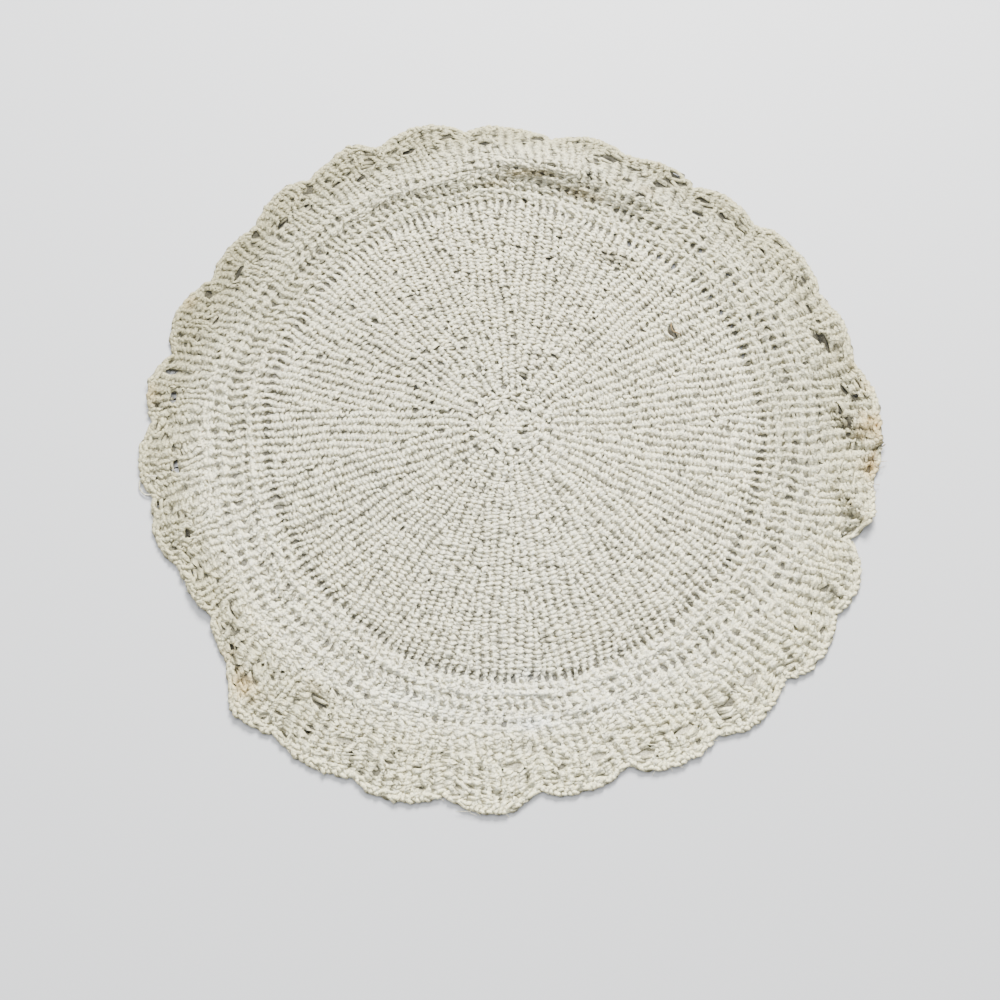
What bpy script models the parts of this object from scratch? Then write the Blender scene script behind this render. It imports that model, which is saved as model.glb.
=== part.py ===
"""Round knitted cotton doily, lying flat with the creases and lifted scallops of a worn piece.

One piece of cloth: a garter-stitch disc of short-row wedges, a ring of ladder slits, a plaited
strip, a band of open mesh and a lace border whose bound-off edge waves in 27 scallops.
The origin is the centre of the disc's resting face, +Z is up, and lengths are in metres.
"""

from collections import namedtuple
from math import cos, exp, pi, radians, sin

import bmesh
import bpy

MM = 0.001

REPEATS = 27            # scallops round the edge, each on its own repeat of the lace
HEEL = 95.0             # mm, radius where the mesh ends and the scalloped border begins
NOMINAL_EDGE = 110.0    # mm, radius of the bound-off edge before it is drawn out in scallops
GARTER = 2.4            # mm, thickness of plain garter stitch
WARP_START = 84.0       # mm, radius past which the knitting follows each scallop's own width
LOBE_ROUNDNESS = 0.92   # below 1 gives round lobes with sharp notches between them
SETTLE = 0.4            # mm, a lift smaller than this lies flat under the cloth's own weight
EYELET_DIP = 0.5        # mm, how far the slanting line of small eyelets sinks into each leaf
HOLE_DIP = 0.6          # mm, depth of the hollow round each scallop's large eyelet

# Thickness of the cloth across its bands, from the centre to the bound-off chain.
Band = namedtuple("Band", "radius_mm thickness_mm")
BANDS = [
    Band(0.0, GARTER),
    Band(74.0, GARTER),       # last full stitch of the disc
    Band(76.6, 1.5),          # ladder slits
    Band(80.2, 2.3),          # plaited strip
    Band(83.0, 1.6),          # row of holes
    Band(86.4, 1.4),          # open mesh loops
    Band(90.5, 2.1),          # second row of the mesh
    Band(94.0, 1.5),          # row of holes at the heel of the border
    Band(97.0, 2.3),
    Band(103.5, GARTER),      # garter leaves
    Band(107.5, 2.2),
    Band(NOMINAL_EDGE, 1.9),  # bound-off chain
]

# Rings of the sheet; the ones past the heel are drawn out to the scalloped edge.
Ring = namedtuple("Ring", "radius_mm points")
RINGS = [
    Ring(10.0, REPEATS),
    Ring(26.0, REPEATS),
    Ring(42.0, 2 * REPEATS),
    Ring(57.0, 2 * REPEATS),
    Ring(67.0, 4 * REPEATS),
    Ring(74.0, 4 * REPEATS),
    Ring(76.6, 4 * REPEATS),
    Ring(80.2, 4 * REPEATS),
    Ring(83.0, 4 * REPEATS),
    Ring(86.4, 4 * REPEATS),
    Ring(90.5, 4 * REPEATS),
    Ring(94.0, 8 * REPEATS),
    Ring(98.5, 8 * REPEATS),
    Ring(103.5, 8 * REPEATS),
    Ring(107.5, 8 * REPEATS),
    Ring(NOMINAL_EDGE, 8 * REPEATS),
]

# Each scallop's tip and the notch that follows it, counter-clockwise from +X.
# The lift is how far the tip stands off the surface.
Scallop = namedtuple("Scallop", "tip_deg tip_mm notch_deg notch_mm lift_mm")
SCALLOPS = [
    Scallop(4.0, 113.1, 15.0, 108.1, 1.6),
    Scallop(21.0, 110.0, 28.5, 106.7, 0.9),
    Scallop(35.5, 110.2, 45.0, 104.1, 0.5),
    Scallop(51.0, 106.2, 58.0, 102.4, 0.4),
    Scallop(64.5, 104.4, 71.5, 101.6, 0.8),
    Scallop(77.5, 104.3, 85.5, 101.1, 0.6),
    Scallop(96.0, 105.5, 101.5, 103.3, 0.3),
    Scallop(109.0, 109.1, 117.0, 105.3, 0.5),
    Scallop(121.5, 109.2, 130.5, 105.5, 0.7),
    Scallop(134.5, 108.5, 143.0, 105.1, 0.4),
    Scallop(149.0, 106.9, 156.0, 105.8, 0.6),
    Scallop(163.0, 109.9, 171.0, 106.0, 1.2),
    Scallop(177.5, 111.3, 183.0, 107.9, 1.3),
    Scallop(189.0, 111.4, 195.5, 109.1, 0.9),
    Scallop(202.0, 110.4, 208.5, 107.3, 0.5),
    Scallop(213.0, 107.3, 218.5, 105.2, 0.2),
    Scallop(223.5, 109.0, 226.5, 111.2, 0.2),
    Scallop(232.0, 117.8, 238.5, 115.9, 0.9),
    Scallop(244.0, 117.7, 250.5, 114.5, 0.4),
    Scallop(256.0, 116.9, 264.0, 113.1, 0.3),
    Scallop(270.0, 116.8, 277.0, 109.5, 0.7),
    Scallop(283.0, 112.2, 291.0, 107.5, 0.3),
    Scallop(298.5, 113.2, 305.5, 110.8, 0.6),
    Scallop(312.0, 114.3, 319.0, 110.7, 0.4),
    Scallop(324.5, 114.4, 331.5, 111.1, 0.5),
    Scallop(336.5, 113.8, 344.5, 105.9, 0.4),
    Scallop(348.5, 111.7, 354.0, 109.6, 1.8),
]

# Creases and puckers. The crest passes through angle and radius and drifts outwards by drift
# for each mm along it; it fades over its half length and falls away inwards and outwards.
Fold = namedtuple("Fold", "angle_deg radius_mm drift half_length_mm inner_mm outer_mm height_mm")
FOLDS = [
    Fold(86.0, 90.5, 0.06, 26.0, 3.6, 8.0, 4.6),       # border rolled over the mesh at the top
    Fold(112.0, 86.5, 0.10, 22.0, 3.4, 6.0, 1.8),      # its tail to the left
    Fold(66.0, 88.0, -0.30, 7.0, 3.4, 4.4, 1.7),       # bunched mesh beside it
    Fold(61.5, 66.8, -0.20, 9.0, 3.0, 3.6, 1.4),       # wrinkle in the disc
    Fold(89.0, 60.0, 0.80, 9.0, 3.0, 3.0, 0.7),        # faint crease near the top of the disc
    Fold(22.0, 103.0, -0.05, 9.0, 2.6, 4.0, 1.0),      # leaves pulled open on the right
    Fold(4.5, 102.5, -0.80, 8.0, 2.2, 5.0, 1.6),       # stained flap
    Fold(350.0, 104.0, -1.00, 8.0, 2.2, 5.0, 1.8),     # lower end of the flap
    Fold(336.0, 106.0, -1.20, 7.0, 2.4, 3.6, 1.3),     # pleat below the flap
    Fold(286.5, 88.5, 0.20, 6.0, 3.0, 4.0, 1.6),       # lump in the mesh
    Fold(226.5, 104.5, 0.50, 7.0, 3.0, 4.0, 1.6),      # pucker at the stained lower left
    Fold(214.0, 105.5, 0.05, 12.0, 3.0, 3.0, 1.5),     # hem turned in on the left
    Fold(172.0, 91.0, 0.00, 14.0, 4.0, 4.0, 0.8),      # soft swell in the left mesh
    Fold(322.0, 93.0, 0.00, 16.0, 4.0, 5.0, 0.7),      # soft swell in the lower right
]


def interpolate(value, stops):
    """Straight lines between (position, amount) stops, level beyond both ends."""
    for (low, low_amount), (high, high_amount) in zip(stops, stops[1:]):
        if value <= high:
            share = max(0.0, (value - low) / (high - low))
            return low_amount + (high_amount - low_amount) * share
    return stops[-1][1]


def smooth_step(share):
    share = min(1.0, max(0.0, share))
    return share * share * (3.0 - 2.0 * share)


def scallop_at(repeat):
    """Angle in degrees, edge radius and lift where the repeat count stands, 0 at the first notch."""
    index = int(repeat) % REPEATS
    share = repeat % 1.0
    scallop = SCALLOPS[index]
    before = SCALLOPS[index - 1]
    start_deg = before.notch_deg - (360.0 if before.notch_deg > scallop.tip_deg else 0.0)
    if share < 0.5:
        rise = share / 0.5
        angle = start_deg + (scallop.tip_deg - start_deg) * rise
        notch_mm = before.notch_mm
    else:
        rise = (1.0 - share) / 0.5
        angle = scallop.notch_deg + (scallop.tip_deg - scallop.notch_deg) * rise
        notch_mm = scallop.notch_mm
    lobe = sin(0.5 * pi * rise) ** LOBE_ROUNDNESS
    return angle, notch_mm + (scallop.tip_mm - notch_mm) * lobe, scallop.lift_mm * lobe * lobe


def sheet_place(repeat, ring_mm):
    """Polar place of a point of the knitting: degrees, mm from the centre and lift off the floor."""
    turn_start = SCALLOPS[-1].notch_deg - 360.0
    even_deg = turn_start + 360.0 * repeat / REPEATS
    edge_deg, edge_mm, lift_mm = scallop_at(repeat)
    follow = smooth_step((ring_mm - WARP_START) / (HEEL - WARP_START))
    out = max(0.0, (ring_mm - HEEL) / (NOMINAL_EDGE - HEEL))
    radius_mm = min(ring_mm, HEEL) + out * (edge_mm - HEEL)
    return even_deg + (edge_deg - even_deg) * follow, radius_mm, lift_mm * out * out


def fold_height(angle_deg, radius_mm):
    """Height in mm that the creases raise the sheet at this place."""
    height = 0.0
    for fold in FOLDS:
        turn = (angle_deg - fold.angle_deg + 180.0) % 360.0 - 180.0
        along = radians(turn) * fold.radius_mm
        across = radius_mm - fold.radius_mm - fold.drift * along
        width = fold.outer_mm if across > 0.0 else fold.inner_mm
        height += fold.height_mm * exp(-((along / fold.half_length_mm) ** 2) - (across / width) ** 2)
    return height


def relief(repeat, ring_mm):
    """Thickness in mm, with the hollows of each leaf's slanting eyelets and its large eyelet."""
    thickness = interpolate(ring_mm, BANDS)
    if ring_mm <= HEEL:
        return thickness
    share = repeat % 1.0
    out = (ring_mm - HEEL) / (NOMINAL_EDGE - HEEL)
    slant = share - (0.50 - 0.38 * out)
    thickness -= EYELET_DIP * exp(-((slant / 0.09) ** 2)) * sin(pi * min(1.0, out))
    hole = ((share - 0.70) / 0.12) ** 2 + ((out - 0.50) / 0.2) ** 2
    return thickness - HOLE_DIP * exp(-hole)


def loft(bm, inner, outer):
    """Faces between two rings of points, where the outer ring has as many points or twice as many."""
    doubled = len(outer) == 2 * len(inner)
    for i in range(len(inner)):
        a, b = inner[i - 1], inner[i]
        if doubled:
            first, middle, last = outer[2 * i - 2], outer[2 * i - 1], outer[2 * i]
            bm.faces.new((a, first, middle))
            bm.faces.new((a, middle, b))
            bm.faces.new((b, middle, last))
        else:
            bm.faces.new((a, outer[i - 1], outer[i], b))


def knitted_sheet():
    """The open underside of the doily, ring by ring, with its thickness kept as vertex weights."""
    bm = bmesh.new()
    deform = bm.verts.layers.deform.verify()
    middle = bm.verts.new((0.0, 0.0, 0.0))
    middle[deform][0] = 1.0
    inner = []
    for ring in RINGS:
        verts = []
        for step in range(ring.points):
            repeat = REPEATS * step / ring.points
            angle_deg, radius_mm, lift_mm = sheet_place(repeat, ring.radius_mm)
            height_mm = max(0.0, lift_mm + fold_height(angle_deg, radius_mm) - SETTLE)
            angle = radians(angle_deg)
            vert = bm.verts.new((
                radius_mm * MM * cos(angle),
                radius_mm * MM * sin(angle),
                height_mm * MM,
            ))
            vert[deform][0] = relief(repeat, ring.radius_mm) / GARTER
            verts.append(vert)
        if inner:
            loft(bm, inner, verts)
        else:
            for i in range(ring.points):
                bm.faces.new((middle, verts[i - 1], verts[i]))
        inner = verts
    mesh = bpy.data.meshes.new("doily")
    bm.to_mesh(mesh)
    bm.free()
    return mesh


def cotton_material():
    """Unbleached, washed cotton yarn."""
    material = bpy.data.materials.new("ecru_cotton")
    material.use_nodes = True
    shader = material.node_tree.nodes["Principled BSDF"]
    shader.inputs["Base Color"].default_value = (0.75, 0.72, 0.64, 1.0)
    shader.inputs["Roughness"].default_value = 0.92
    shader.inputs["Metallic"].default_value = 0.0
    shader.inputs["Sheen Weight"].default_value = 0.25
    return material


def build_doily(collection):
    """The cloth: the open sheet, thickened upwards by its band's own thickness."""
    mesh = knitted_sheet()
    mesh.materials.append(cotton_material())
    mesh.shade_smooth()
    mesh.set_sharp_from_angle(angle=radians(50.0))
    doily = bpy.data.objects.new("doily", mesh)
    doily.vertex_groups.new(name="thickness")
    collection.objects.link(doily)
    solidify = doily.modifiers.new("Cloth thickness", "SOLIDIFY")
    solidify.thickness = GARTER * MM
    solidify.offset = 1.0
    solidify.vertex_group = "thickness"
    solidify.use_rim = True
    return doily


def main():
    for old in list(bpy.data.objects):
        bpy.data.objects.remove(old, do_unlink=True)
    collection = bpy.data.collections.new("Knitted doily")
    bpy.context.scene.collection.children.link(collection)
    build_doily(collection)


main()
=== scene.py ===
from collections import namedtuple
from math import cos, pi, radians, sin

import bpy
import numpy as np
from mathutils import Euler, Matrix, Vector


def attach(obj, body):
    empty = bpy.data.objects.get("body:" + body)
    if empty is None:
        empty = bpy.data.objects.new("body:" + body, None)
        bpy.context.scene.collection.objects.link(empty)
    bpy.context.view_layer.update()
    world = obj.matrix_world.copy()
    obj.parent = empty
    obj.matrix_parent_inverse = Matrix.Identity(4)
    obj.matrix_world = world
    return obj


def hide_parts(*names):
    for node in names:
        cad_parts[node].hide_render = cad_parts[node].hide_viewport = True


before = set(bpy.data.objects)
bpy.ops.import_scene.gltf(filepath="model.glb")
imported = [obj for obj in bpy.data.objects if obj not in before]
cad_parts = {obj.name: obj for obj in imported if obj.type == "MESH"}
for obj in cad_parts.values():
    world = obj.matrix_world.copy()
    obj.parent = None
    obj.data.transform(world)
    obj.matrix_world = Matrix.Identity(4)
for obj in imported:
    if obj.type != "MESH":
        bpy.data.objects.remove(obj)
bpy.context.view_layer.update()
scene = bpy.context.scene
MM = 0.001
TURN = 2.0 * pi


# ---- Camera ------------------------------------------------------------------------------
# The photo was taken by hand from above: 19 degrees off straight down, turned about three
# degrees, with the mat a little above the middle of the picture.
camera_data = bpy.data.cameras.new("Camera")
camera_data.lens = 54.0
camera_data.sensor_width = 36.0
camera = bpy.data.objects.new("Camera", camera_data)
scene.collection.objects.link(camera)
camera.location = (-0.00187, -0.17208, 0.42405)
tilt = Euler((radians(19.3), 0.0, 0.0), "XYZ").to_matrix()
turned = Euler((0.0, 0.0, radians(3.34)), "XYZ").to_matrix()
camera.rotation_euler = (tilt @ turned).to_euler()
scene.camera = camera


# ---- Floor and light ---------------------------------------------------------------------
# The mat lies on a plain, matt, pale floor. A soft window behind it and a dim ceiling light it,
# and the walls of the room fill in from all round.
floor_mesh = bpy.data.meshes.new("table")
floor_mesh.from_pydata([(-3, -3, 0), (3, -3, 0), (3, 3, 0), (-3, 3, 0)], [], [(0, 1, 2, 3)])
floor = bpy.data.objects.new("table", floor_mesh)
scene.collection.objects.link(floor)
floor.location.z = -0.0002
paint = bpy.data.materials.new("Pale table")
paint.use_nodes = True
shader = paint.node_tree.nodes["Principled BSDF"]
shader.inputs["Base Color"].default_value = (0.428, 0.432, 0.442, 1.0)
shader.inputs["Roughness"].default_value = 0.6
floor_mesh.materials.append(paint)

Lamp = namedtuple("Lamp", "name place size_m watts colour")     # both lamps point at the mat
LAMPS = [
    Lamp("Window", (0.10, 0.92, 0.84), 0.46, 71.8, (1.0, 0.99, 0.97)),
    Lamp("Ceiling", (-0.1, 0.1, 1.3), 1.0, 26.2, (0.97, 0.985, 1.0)),
]
for lamp in LAMPS:
    light = bpy.data.lights.new(lamp.name, "AREA")
    light.shape = "SQUARE"
    light.size = lamp.size_m
    light.energy = lamp.watts
    light.color = lamp.colour
    holder = bpy.data.objects.new(lamp.name, light)
    holder.location = lamp.place
    holder.rotation_euler = (-Vector(lamp.place)).to_track_quat("-Z", "Y").to_euler()
    scene.collection.objects.link(holder)

world = bpy.data.worlds.new("Room")
world.use_nodes = True
walls = world.node_tree.nodes["Background"]
walls.inputs["Color"].default_value = (0.95, 0.97, 1.0, 1.0)
walls.inputs["Strength"].default_value = 0.417
scene.world = world


# ---- The cloth's felted ground -----------------------------------------------------------
# Washed cotton felts together, so the middle of the fabric is nearly closed. This thin dark layer
# is that felted middle, seen between the stitches; its dark colour is painted shade. It carries the
# lie of the whole mat, and is cut through where the openwork was pulled widest and at the large
# eyelets of the left edge.
CALM = 35.0              # mm, inside this the cloth was not pulled out of round
LADDER = 74.5            # mm, the ladder of slits round the disc
DISC = 75.0              # mm, where the wedges of the disc end
HEEL = 95.2              # mm, where the openwork ends and the border begins
EDGE = 110.0             # mm, the bound-off edge before it waves
EDGE_STEPS = 16          # points along each scallop
SETTLE = 0.4             # mm, smaller lifts lie flat
YARN = 0.52              # mm, radius of the yarn
MESH_RIDGES = 189        # garter ridges that run out through the openwork
FIRST_DEG = 161.6        # where the first of them starts, in degrees as knitted

# The scallops as they lie, counter-clockwise from +X, and how far each tip stands off the floor.
Scallop = namedtuple("Scallop", "tip_deg tip_mm notch_deg notch_mm lift_mm")
SCALLOPS = [Scallop(*place) for place in (
    (4, 113.1, 15, 108.1, 1.6), (21, 110, 28.5, 106.7, 0.9), (35.5, 110.2, 45, 104.1, 0.5),
    (51, 106.2, 58, 102.4, 0.4), (64.5, 104.4, 71.5, 101.6, 0.8), (77.5, 104.3, 85.5, 101.1, 0.6),
    (96, 105.5, 101.5, 103.3, 0.3), (109, 109.1, 117, 105.3, 0.5),
    (121.5, 109.2, 130.5, 105.5, 0.7), (134.5, 108.5, 143, 105.1, 0.4),
    (149, 106.9, 156, 105.8, 0.6), (163, 109.9, 171, 106, 1.2), (177.5, 111.3, 183, 107.9, 1.3),
    (189, 111.4, 195.5, 109.1, 0.9), (202, 110.4, 208.5, 107.3, 0.5),
    (213, 107.3, 218.5, 105.2, 0.2), (223.5, 109, 226.5, 111.2, 0.2),
    (232, 117.8, 238.5, 115.9, 0.9), (244, 117.7, 250.5, 114.5, 0.4), (256, 116.9, 264, 113.1, 0.3),
    (270, 116.8, 277, 109.5, 0.7), (283, 112.2, 291, 107.5, 0.3), (298.5, 113.2, 305.5, 110.8, 0.6),
    (312, 114.3, 319, 110.7, 0.4), (324.5, 114.4, 331.5, 111.1, 0.5),
    (336.5, 113.8, 344.5, 105.9, 0.4), (348.5, 111.7, 354, 109.6, 1.8),
)]

# Creases and puckers, as crests that fade along their length and fall away inwards and outwards.
Fold = namedtuple("Fold", "angle_deg radius_mm drift half_length_mm inner_mm outer_mm height_mm")
FOLDS = [Fold(*place) for place in (
    (86, 90.5, 0.06, 26, 6, 8.5, 4.2), (112, 86.5, 0.1, 22, 3.4, 6, 1.8),
    (66, 88, -0.3, 7, 3.4, 4.4, 1.7), (61.5, 66.8, -0.2, 9, 3, 3.6, 1.4),
    (89, 60, 0.8, 9, 3, 3, 0.7), (22, 103, -0.05, 9, 2.6, 4, 1), (4.5, 102.5, -0.8, 8, 2.2, 5, 1.6),
    (350, 104, -1, 8, 2.2, 5, 1.8), (336, 106, -1.2, 7, 2.4, 3.6, 1.3),
    (286.5, 88.5, 0.2, 6, 3, 4, 1.6), (226.5, 104.5, 0.5, 7, 3, 4, 1.6),
    (214, 105.5, 0.05, 12, 3, 3, 1.5), (172, 91, 0, 14, 4, 4, 0.8), (322, 93, 0, 16, 4, 5, 0.7),
)]

# The openwork was pulled out of round in use: where its first and last rows of holes lie.
Pull = namedtuple("Pull", "angle_deg slit_mm heel_mm")
PULLS = [Pull(*place) for place in (
    (0, 77, 93.9), (15, 77.3, 94), (30, 77.1, 93.6), (42, 76.8, 93.5), (50, 75.6, 92.8),
    (56, 74.6, 90.4), (62, 74.2, 88.8), (70, 73.9, 88.3), (80, 75, 89.3), (90, 77, 90.5),
    (98, 78, 91.4), (105, 77.2, 91.6), (115, 76.2, 92), (125, 75.6, 92.4), (135, 74.8, 91.8),
    (145, 74.4, 90.8), (155, 74.6, 91), (165, 74.4, 92), (175, 74.4, 93.6), (185, 74.2, 92.9),
    (195, 74.3, 92.3), (205, 74.3, 92.5), (212, 74.6, 94), (220, 75.4, 95.2), (235, 75.8, 95.6),
    (250, 77.4, 96.6), (262, 78.6, 95.6), (272, 79, 94.4), (286, 79, 93.8), (300, 77.8, 94.6),
    (320, 76.9, 95.6), (333, 76.9, 95.3), (346, 76.8, 94.1), (360, 77, 93.9),
)]

# Washing crowded the ridges in some places and spread them in others: degrees, and ridges to a
# whole turn.
CROWDING = [
    (0, 187), (10, 186), (20, 178), (32, 174), (60, 178), (80, 181), (90, 193), (105, 203),
    (120, 205), (132, 199), (145, 191), (160, 184), (175, 186), (200, 183), (215, 187), (230, 198),
    (245, 205), (262, 201), (280, 202), (292, 192), (312, 187), (340, 186), (350, 183), (360, 187),
]

# Rings of holes, one hole for each ridge. Sizes are half sizes, lean slants a hole, and the bow
# is how far the ridges bend sideways there.
Holes = namedtuple("Holes", "ring_mm along_mm across_mm lean bow_mm bow_width_mm")
HOLE_RINGS = [
    Holes(LADDER, 1.10, 0.14, 0.0, -0.60, 1.7),  # ladder of slits round the disc
    Holes(78.2, 0.35, 0.08, 0.5, 0.10, 1.0),
    Holes(82.0, 0.55, 0.14, 0.6, -0.40, 1.2),    # slanted holes above the plait
    Holes(86.2, 1.15, 0.04, 0.0, 0.80, 2.0),     # open mesh
    Holes(91.2, 0.45, 0.07, 0.1, -0.25, 1.3),
    Holes(HEEL, 0.40, 0.18, 0.6, 0.20, 1.0),     # row at the heel of the border
]
# How wide the open mesh was pulled, round the mat: degrees, and 1 as knitted.
OPENNESS = [
    (0, 1.0), (12, 1.2), (25, 1.7), (58, 1.6), (68, 1.0), (78, 0.9), (98, 1.0), (112, 1.0),
    (150, 1.0), (200, 0.8), (232, 0.65), (300, 0.65), (335, 0.9), (360, 1.0),
]

# Thickness across the bands, from the centre to the edge.
BAND_MM = [0, 73, 75, 78, 79.8, 82, 83.4, 86.2, 88.5, 91.2, 93, 95.2, 97, 104, 108, 110]
THICK_MM = [2.4, 2.4, 1.8, 2.1, 2.35, 1.9, 2.0, 1.8, 2.1, 2.0, 2.1, 1.9, 2.2, 2.1, 1.7, 1.3]

# Eyelets in the border, as places in each leaf: share of the leaf, share of its depth, half size.
LEAF_EYELETS = [
    (0.1, 0.9, 0.4), (0.17, 0.79, 0.46), (0.24, 0.68, 0.48), (0.31, 0.57, 0.44),
    (0.39, 0.47, 0.38), (0.48, 0.37, 0.32), (0.74, 0.84, 0.4), (0.86, 0.7, 0.34),
    (0.55, 0.75, 0.34), (0.65, 0.55, 0.3), (0.93, 0.4, 0.3),
]
# Places where the fabric is open: degrees, mm out, half length along the edge, half width, slope.
Opening = namedtuple("Opening", "angle_deg radius_mm along_mm across_mm slope")
OPENINGS = [Opening(*place) for place in (
    # Large eyelets of the border, pulled wide.
    (19, 102.2, 2.6, 0.55, -0.1), (26.4, 101.9, 1.5, 0.5, 0.05), (21.5, 100, 2.6, 0.3, -0.2),
    (10, 103.4, 1.4, 0.55, -0.3), (4.3, 103, 1.2, 0.6, -0.45), (6.5, 100.6, 1.4, 0.45, -0.2),
    (8.8, 106.1, 0.9, 0.9, 0.3), (31.8, 105.8, 1.2, 0.6, -0.1), (38.3, 96.3, 2.8, 0.4, 0.05),
    (40, 100.3, 0.9, 0.4, -0.1), (46, 100.2, 1.2, 0.45, -0.2), (50.2, 100.3, 0.9, 0.6, -0.2),
    (54.8, 100.3, 1.9, 0.6, 0), (53.8, 95.2, 2.6, 0.55, -0.1), (61.6, 102.8, 1.6, 0.45, 0.15),
    (62, 99.2, 2, 0.6, 0.05), (63.6, 97.2, 1, 0.6, -0.2), (73.8, 99.2, 1.6, 0.6, -0.15),
    (98, 98.6, 2.3, 0.45, 0.1), (112.6, 100.9, 1.5, 0.45, 0), (120.3, 101.7, 0.9, 0.5, 0.1),
    (122.4, 97.8, 1, 0.45, -0.1), (126.6, 100.1, 1.6, 0.5, 0.05), (134.6, 99.2, 1.4, 0.5, 0.1),
    (139.6, 99.8, 2.1, 0.5, -0.1), (152.4, 99.2, 2.3, 0.5, -0.15), (162.4, 97.8, 1.5, 0.45, -0.1),
    (166.4, 100.3, 1.9, 0.5, 0.15), (178.2, 102.9, 1.7, 0.95, -0.25),
    (191.2, 101.2, 1.9, 0.85, -0.1), (203.4, 101.4, 1.6, 0.75, -0.1),
    (209.2, 101.6, 1.4, 0.5, -0.1), (219.6, 99.8, 1, 0.6, -0.2), (240.5, 101.8, 1.9, 0.4, -0.4),
    (247, 106.8, 2.2, 0.7, -0.2), (273.2, 103.2, 2.3, 0.8, -0.15), (287, 103.2, 2.2, 0.8, -0.1),
    (293.8, 106.6, 2.3, 0.7, 0.15), (300.8, 104.9, 2.6, 0.85, 0.05), (301.6, 98.3, 1.3, 0.35, 0),
    (314.4, 104.2, 2.4, 0.85, 0), (327.2, 104, 1.8, 0.55, -0.2), (340, 103, 1.6, 0.5, -0.2),
    (344.4, 106.2, 1.6, 0.8, 0.6),
    # The broken place in the disc.
    (35.2, 59.6, 1.7, 1.2, 0.4),
    # Slits in the creases of the flap and of the rolled side at the back.
    (5.6, 100.4, 0.6, 0.3, -1.2), (4.3, 102.9, 0.8, 0.35, -1.2), (3.6, 105.2, 0.7, 0.35, -1.2),
    (2.6, 107, 0.5, 0.3, -1.2), (108.2, 98.4, 0.7, 0.25, 0.2), (107.2, 100.1, 0.8, 0.25, 0.3),
    (101, 91.6, 0.8, 0.25, 0.1), (97.8, 94.7, 0.7, 0.22, -0.2), (92.1, 97.6, 0.8, 0.22, 0),
    (90.2, 99, 1.3, 0.22, -0.3), (85.1, 96.2, 0.7, 0.25, -0.4), (84.6, 89.9, 0.9, 0.35, 0),
    (82.1, 101.3, 0.3, 0.8, 0), (80.5, 101.7, 0.3, 0.9, 0), (78.9, 101.6, 0.3, 0.8, 0),
    (76.5, 98.2, 0.8, 0.3, -0.3), (77.8, 95.3, 0.8, 0.3, 0.2), (69.2, 93.2, 1.2, 0.5, -0.2),
    (68.7, 98.4, 1.1, 0.28, -0.1), (61.6, 103, 1.3, 0.35, -0.6), (65.4, 89.6, 1.4, 0.45, -0.5),
    (61, 90.4, 1.2, 0.4, -0.5), (89.6, 78.4, 0.35, 0.7, 0), (98, 60.3, 0.5, 0.5, 0.6),
    (85.8, 65, 0.4, 0.6, 0), (82.7, 64.9, 0.35, 0.5, 0), (79.4, 66.3, 0.45, 0.35, 0),
    (80.6, 58.4, 0.7, 0.45, -0.5), (64.1, 66.7, 0.9, 0.35, -0.4), (61, 67.6, 0.9, 0.3, -0.3),
    (58.1, 68.3, 0.8, 0.35, 0.2), (66.4, 66.2, 0.6, 0.3, -0.4),
    # Pits between the stitches of the disc.
    (140.5, 35.9, 0.6, 0.6, 0.4), (134.6, 34.3, 0.5, 0.6, 0.4), (128.9, 30.9, 0.5, 0.5, 0.4),
    (160.6, 31.7, 0.5, 0.5, 0.4), (149.2, 26.1, 0.45, 0.5, 0.4), (147.8, 37.2, 0.5, 0.5, 0.4),
    (79.2, 16.3, 0.8, 0.5, 0.5), (62.9, 27, 0.5, 0.5, 0.4), (58.3, 22.6, 0.6, 0.5, 0.5),
    (165.5, 24.9, 0.5, 0.5, 0.4), (170.1, 18.9, 0.4, 0.5, 0.4), (225.7, 18.2, 0.5, 0.5, 0.4),
    (246.3, 9, 0.4, 0.5, 0.4), (48.3, 12.9, 0.4, 0.5, 0.4),
    # Slits in the pleats of the right and the lower left.
    (20.5, 101.2, 0.3, 1.2, 0), (16.5, 93.7, 0.25, 1.5, 0), (7.3, 98.9, 0.5, 0.35, -1.2),
    (10.2, 103.3, 0.8, 0.35, -0.9), (11, 108.4, 0.8, 0.4, -0.8), (1.8, 108.6, 0.5, 0.35, -1),
    (223.8, 106.4, 0.7, 0.35, 0.3), (226, 107.4, 0.7, 0.35, -0.3), (229.2, 103.8, 0.8, 0.4, 0.2),
    (232.2, 102, 1, 0.3, -0.4), (236.1, 100.2, 0.9, 0.3, -0.4), (239.8, 100, 1.2, 0.45, -0.3),
    (241.8, 96.5, 0.8, 0.3, 0.2), (245.2, 97, 0.8, 0.25, 0), (352.2, 99.8, 0.5, 0.25, -1.1),
    (350.8, 101.7, 0.5, 0.22, -1.1), (349.4, 103.8, 0.6, 0.25, -1.1), (348, 106.4, 0.7, 0.3, -1.1),
)]

edge_deg, edge_mm, edge_lift = [], [], []
half_way = EDGE_STEPS / 2.0
for index, scallop in enumerate(SCALLOPS):
    before = SCALLOPS[index - 1]
    start_deg = before.notch_deg - (360.0 if before.notch_deg > scallop.tip_deg else 0.0)
    for step in range(EDGE_STEPS):
        rise = sin(0.5 * pi * min(step, EDGE_STEPS - step) / half_way) ** 0.92
        if step < half_way:
            edge_deg.append(start_deg + (scallop.tip_deg - start_deg) * step / half_way)
            edge_mm.append(before.notch_mm + (scallop.tip_mm - before.notch_mm) * rise)
        else:
            past_tip = step / half_way - 1.0
            edge_deg.append(scallop.tip_deg + (scallop.notch_deg - scallop.tip_deg) * past_tip)
            edge_mm.append(scallop.notch_mm + (scallop.tip_mm - scallop.notch_mm) * rise)
        edge_lift.append(scallop.lift_mm * rise * rise)
edge_deg.append(edge_deg[0] + 360.0)
edge_mm.append(edge_mm[0])
edge_lift.append(edge_lift[0])
edge_leaf = np.arange(len(edge_deg)) / EDGE_STEPS

crowd_deg = np.arange(361.0)


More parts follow.
